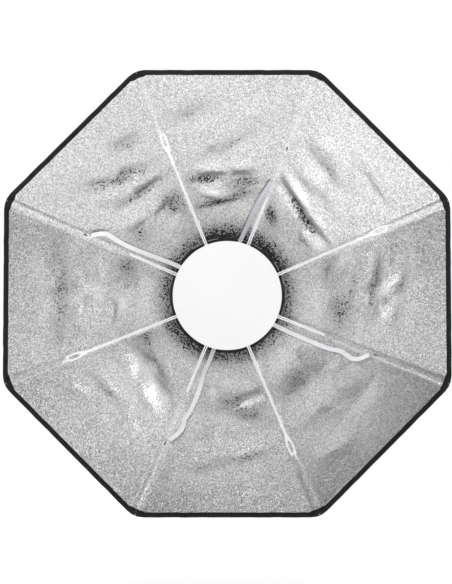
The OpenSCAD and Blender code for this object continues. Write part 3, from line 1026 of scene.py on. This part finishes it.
SHORT_TO = 0.119
for k in TAPE_SIDE:
    end = rod_point(k, SHORT_TO, 0, 0.0045)
    start = disc_point(k, CORD_START_R, HOOP_H)
    for n, aside in enumerate((-STRAND_GAP * 1.1, STRAND_GAP * 1.1)):
        strand(f"short_cord_{k}_{n}", k, start, end, "short_cords", aside, 0.0)

# ------------------------------------------------
# Hooks, with the tape loops that tie them to the seams
# ------------------------------------------------
# A hook's outline in millimetres: along it, and out from its middle, up its clockwise side and back down
# the other
HOOK_OUTLINE = (
    (0, -1.2), (0.8, -2.2), (3, -2.8), (6, -2.4), (10, -1.9), (20, -1.9), (26, -2.4), (31, -4.2),
    (36, -5.4), (44, -5.8), (57, -5.7), (60, -5.2), (61, -4.4), (60.6, -1.2), (63, 0.3), (66, 0.9),
    (66.4, 1.6), (63, 2.6), (58, 4.4), (53, 5.4), (44, 5.6), (36, 5.0), (31, 3.8), (26, 2.3), (20, 1.9),
    (10, 1.9), (6, 2.4), (3, 2.8), (0.8, 2.2), (0, 1.2),
)
HOOK_SLOT = (
    (35, -0.8), (38, -2.4), (43, -2.9), (55, -2.9), (57.5, -2.2), (58, -0.6), (56, 1.6), (53, 2.6),
    (43, 2.7), (38, 2.2), (35, 0.8),
)
HOOK_BEVEL = 0.0005
HOOK_HALF_T = 0.0012
# The sewn loop behind a hook: distance along and height inward, in metres
HOOK_TAIL = ((0.055, -0.0004), (0.059, 0.0014), (0.064, 0.001), (0.07, 0), (0.077, -0.0008), (0.083, -0.0012))
TAIL_W = 0.0022
TAIL_T = 0.0008


def hook_spline(curve, line):
    spline = curve.splines.new("POLY")
    spline.points.add(len(line) - 1)
    for point, (along, aside) in zip(spline.points, line):
        point.co = (aside * MM, along * MM, 0, 1)
    spline.use_cyclic_u = True


def hook(k):
    low, high = HOOK_BOX[k]
    curve = bpy.data.curves.new("hook_outline", "CURVE")
    curve.dimensions = "2D"
    curve.fill_mode = "BOTH"
    curve.bevel_depth = HOOK_BEVEL
    curve.bevel_resolution = 2
    curve.extrude = HOOK_HALF_T - HOOK_BEVEL
    curve.offset = -HOOK_BEVEL
    hook_spline(curve, HOOK_OUTLINE)
    hook_spline(curve, HOOK_SLOT)
    holder = bpy.data.objects.new("hook_outline", curve)
    mesh = bpy.data.meshes.new_from_object(holder)
    bpy.data.objects.remove(holder)
    middle = (low[2] + high[2]) / 2
    for vert in mesh.vertices:
        x, y, z = vert.co
        vert.co = rod_point(k, low[0] + y, x, middle + z)
    mesh.name = f"seam_hook_{k}"
    mesh.materials.clear()
    mesh.materials.append(HOOK_PLASTIC)
    mesh.shade_smooth()
    mesh.set_sharp_from_angle(angle=SHARP)
    made = bpy.data.objects.new(f"seam_hook_{k}", mesh)
    bpy.context.scene.collection.objects.link(made)
    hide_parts(f"hook_{k}")
    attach(made, f"rod_{k}")
    tail = [rod_point(k, low[0] + y, 0.001 + 0.0004 * math.sin(y * 200), middle + z) for y, z in HOOK_TAIL]
    outward = rod_point(k, 0, 0, 0) - rod_point(k, 0, 0, 1)
    loop = sweep(f"hook_tail_{k}", tail, TAIL_W, TAIL_T, TAPE, outward, 8, 0.6)
    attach(loop, f"rod_{k}")


for k in HOOK_RODS:
    hook(k)

# ------------------------------------------------
# Tapes beside the seams, and painted shadow in the slits of the sleeves that they go into
# ------------------------------------------------
TAPE_W = 0.0078
TAPE_T = 0.0008
# Each tape's path: distance beside the seam, distance along the gore and height inward, in millimetres
TAPE_PATHS = {
    2: ((19, 8, 6), (17.5, 34, 4), (16, 64, 3), (14.5, 90, 3), (12.5, 112, 3.4), (9.5, 126, 4.2),
        (6.5, 137, 4.2), (4.5, 148, 3.8)),
    4: ((17, 8, 6), (17, 34, 4), (15, 70, 3), (13, 105, 3), (12.5, 132, 3.4), (14.5, 152, 4.5),
        (17.5, 172, 6.2), (18, 181, 6.8), (14, 189, 6.2), (7.5, 194, 5.2), (3, 198, 4.4)),
    6: ((17, 8, 6), (18, 34, 4), (17, 66, 3), (19.5, 98, 3), (21, 126, 3.2), (20, 154, 3.6),
        (16.5, 172, 4.2), (19, 188, 5.5), (16, 201, 5.6), (9, 209, 4.8), (4.5, 213, 4.2)),
    8: ((19, 8, 6), (20.5, 34, 4), (21.5, 70, 3), (22, 100, 3), (21.5, 140, 3.2), (18, 163, 3.6),
        (21, 179, 5.5), (23, 193, 6.5), (18, 202, 6), (10, 206, 5), (4, 209, 4.2)),
}
SLIT_AT = {2: 0.221, 4: 0.214, 6: 0.228, 8: 0.226}
SLIT_HALF_LEN = 0.0042
SLIT_HALF_W = 0.0012
SLIT_LIFT = 0.0019
SLIT_SIDES = 24


def curve_through(points, count):
    """Points on a smooth line through the given ones."""
    points = np.array(points, float)
    padded = np.concatenate([2 * points[:1] - points[1:2], points, 2 * points[-1:] - points[-2:-1]])
    made = []
    for t in np.linspace(0, len(points) - 1.0001, count):
        i, f = int(t), t - int(t)
        p0, p1, p2, p3 = padded[i:i + 4]
        made.append(0.5 * (2 * p1 + (p2 - p0) * f + (2 * p0 - 5 * p1 + 4 * p2 - p3) * f**2
                           + (3 * p1 - p0 - 3 * p2 + p3) * f**3))
    return np.array(made)


def tape(k, side):
    line = curve_through(TAPE_PATHS[k], 90) * MM
    aside, v, lift = line.T
    u = rod_x(v) - aside
    base = liner_inward(k, side, u, v, rod_off(u, v)) * 0.5
    path = gore_point(k, side, u, v, base + lift)
    psi = rod_turn(k) + side * HALF
    flat = math.cos(GORE_ANGLE)
    out = Vector((math.cos(psi) * flat, math.sin(GORE_ANGLE), math.sin(psi) * flat))
    made = sweep(f"sleeve_tape_{k}", path, TAPE_W, TAPE_T, GREY_TAPE if k == 2 else TAPE, out, 12, 0.35)
    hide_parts("sleeve_tapes")
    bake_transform(made)


def slit_shadow(k):
    """Painted shadow in the mouth of a sleeve's slit: a flat black lens on its crest."""
    at, n, lift = SLIT_AT[k], SLIT_SIDES, ROD_CLEAR + SLIT_LIFT
    points = [rod_point(k, at + SLIT_HALF_LEN * math.cos(t), SLIT_HALF_W * math.sin(t) * w, lift + z)
              for w, z in ((1, 0), (0.7, 0.0004), (0.7, -0.0006))
              for t in np.linspace(0, 2 * math.pi, n + 1)[:-1]]
    faces = [tuple(range(n, 2 * n)), tuple(range(2 * n, 3 * n))[::-1]]
    for t in range(n):
        b = (t + 1) % n
        faces += [(t, b, n + b, n + t), (b, t, 2 * n + t, 2 * n + b)]
    made = piece(f"sleeve_slit_{k}", points, faces, BINDING)
    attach(made, f"rod_{k}")


for k, side in TAPE_SIDE.items():
    tape(k, side)
    slit_shadow(k)

# ------------------------------------------------
# Floor and light
# ------------------------------------------------
FLOOR_Z = -1.6
FLOOR_HALF = 30
corners = [(x * FLOOR_HALF, y * FLOOR_HALF, FLOOR_Z) for x, y in ((-1, -1), (1, -1), (1, 1), (-1, 1))]
floor = piece("floor", corners, [(0, 1, 2, 3)], FLOOR)

world = bpy.data.worlds.new("world")
bpy.context.scene.world = world
world.use_nodes = True
sky = world.node_tree
shown = sky.nodes["Background"]
shown.inputs["Color"].default_value = (1, 1, 1, 1)
lit = sky.nodes.new("ShaderNodeBackground")
lit.inputs["Color"].default_value = (1, 1, 1, 1)
towards = sky.nodes.new("ShaderNodeTexCoord")
split = sky.nodes.new("ShaderNodeSeparateXYZ")
glow = sky.nodes.new("ShaderNodeMapRange")
for name, value in (("From Min", -0.1), ("From Max", 0.7), ("To Min", 0.03), ("To Max", 0.7)):
    glow.inputs[name].default_value = value
sky.links.new(towards.outputs["Generated"], split.inputs[0])
sky.links.new(split.outputs["Y"], glow.inputs["Value"])
sky.links.new(glow.outputs[0], lit.inputs["Strength"])
either = sky.nodes.new("ShaderNodeMixShader")
ray = sky.nodes.new("ShaderNodeLightPath")
sky.links.new(ray.outputs["Is Camera Ray"], either.inputs["Fac"])
sky.links.new(lit.outputs[0], either.inputs[1])
sky.links.new(shown.outputs[0], either.inputs[2])
sky.links.new(either.outputs[0], sky.nodes["World Output"].inputs["Surface"])


def area_light(name, place, size, power):
    data = bpy.data.lights.new(name, "AREA")
    data.shape = "DISK"
    data.size = size
    data.energy = power
    made = bpy.data.objects.new(name, data)
    bpy.context.scene.collection.objects.link(made)
    target = Vector((0, -RIM_H, 0))
    made.location = place
    made.rotation_euler = (target - Vector(place)).to_track_quat("-Z", "Y").to_euler()


area_light("front", (-0.05, -2.6, 0.3), 1.3, 35)
area_light("side", (0.9, -2.0, 1.75), 1.2, 17)
area_light("key", (-1.5, -2.0, -1.2), 1.2, 5)
bpy.context.scene.view_settings.view_transform = "Standard"
